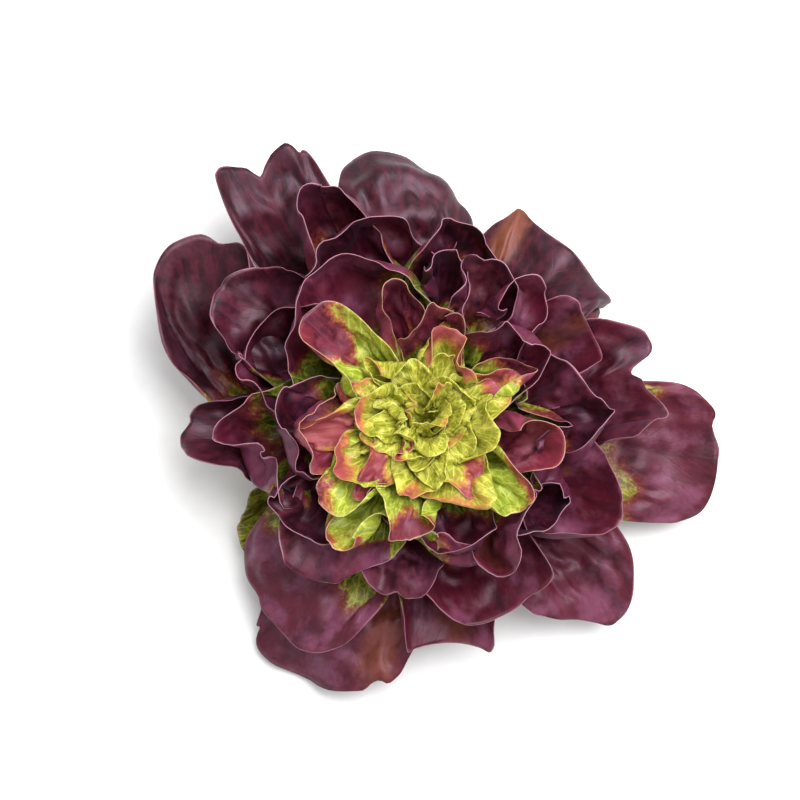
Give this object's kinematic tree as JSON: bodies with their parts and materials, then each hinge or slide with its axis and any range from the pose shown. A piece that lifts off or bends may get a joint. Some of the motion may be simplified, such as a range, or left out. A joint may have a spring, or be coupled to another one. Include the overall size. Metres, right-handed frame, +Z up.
{
  "type": "red butterhead lettuce",
  "caption": "Whole head of red butterhead lettuce: cupped dark maroon leaves in a rosette round an open yellow-green heart, standing on its cut stem.",
  "frame": {"origin": "middle of the stem's flat cut face, which the head stands on", "axes": "+Z up the stem, away from the cut; +X and +Y lie on the surface it stands on"},
  "size_m": [0.2765, 0.2612, 0.113],
  "materials": {
    "stem": "pale green, moist cut face",
    "outer_leaf": "dark purple-maroon, soft waxy sheen",
    "middle_leaf": "dark purple-maroon, soft waxy sheen",
    "inner_leaf": "yellow-green with red-tinged tips, soft sheen",
    "heart_leaf": "yellow-green, soft sheen"
  },
  "bodies": {
    "root": {"stem": "stem", "outer_leaf_01": "outer_leaf", "outer_leaf_02": "outer_leaf", "outer_leaf_03": "outer_leaf", "outer_leaf_04": "outer_leaf", "outer_leaf_05": "outer_leaf", "outer_leaf_06": "outer_leaf", "outer_leaf_07": "outer_leaf", "outer_leaf_08": "outer_leaf", "outer_leaf_09": "outer_leaf", "outer_leaf_10": "outer_leaf", "outer_leaf_11": "outer_leaf", "outer_leaf_12": "outer_leaf", "outer_leaf_13": "outer_leaf", "outer_leaf_14": "outer_leaf", "outer_leaf_15": "outer_leaf", "outer_leaf_16": "outer_leaf", "outer_leaf_17": "outer_leaf", "outer_leaf_18": "outer_leaf", "middle_leaf_01": "middle_leaf", "middle_leaf_02": "middle_leaf", "middle_leaf_03": "middle_leaf", "middle_leaf_04": "middle_leaf", "middle_leaf_05": "middle_leaf", "middle_leaf_06": "middle_leaf", "middle_leaf_07": "middle_leaf", "middle_leaf_08": "middle_leaf", "middle_leaf_09": "middle_leaf", "middle_leaf_10": "middle_leaf", "middle_leaf_11": "middle_leaf", "middle_leaf_12": "middle_leaf", "middle_leaf_13": "middle_leaf", "middle_leaf_14": "middle_leaf", "middle_leaf_15": "middle_leaf", "middle_leaf_16": "middle_leaf", "middle_leaf_17": "middle_leaf", "inner_leaf_01": "inner_leaf", "inner_leaf_02": "inner_leaf", "inner_leaf_03": "inner_leaf", "inner_leaf_04": "inner_leaf", "inner_leaf_05": "inner_leaf", "inner_leaf_06": "inner_leaf", "inner_leaf_07": "inner_leaf", "inner_leaf_08": "inner_leaf", "inner_leaf_09": "inner_leaf", "inner_leaf_10": "inner_leaf", "heart_leaf_01": "heart_leaf", "heart_leaf_02": "heart_leaf", "heart_leaf_03": "heart_leaf", "heart_leaf_04": "heart_leaf", "heart_leaf_05": "heart_leaf", "heart_leaf_06": "heart_leaf", "heart_leaf_07": "heart_leaf", "heart_leaf_08": "heart_leaf", "heart_leaf_09": "heart_leaf", "heart_leaf_10": "heart_leaf", "heart_leaf_11": "heart_leaf", "heart_leaf_12": "heart_leaf", "heart_leaf_13": "heart_leaf", "heart_leaf_14": "heart_leaf"}
  },
  "joints": []
}
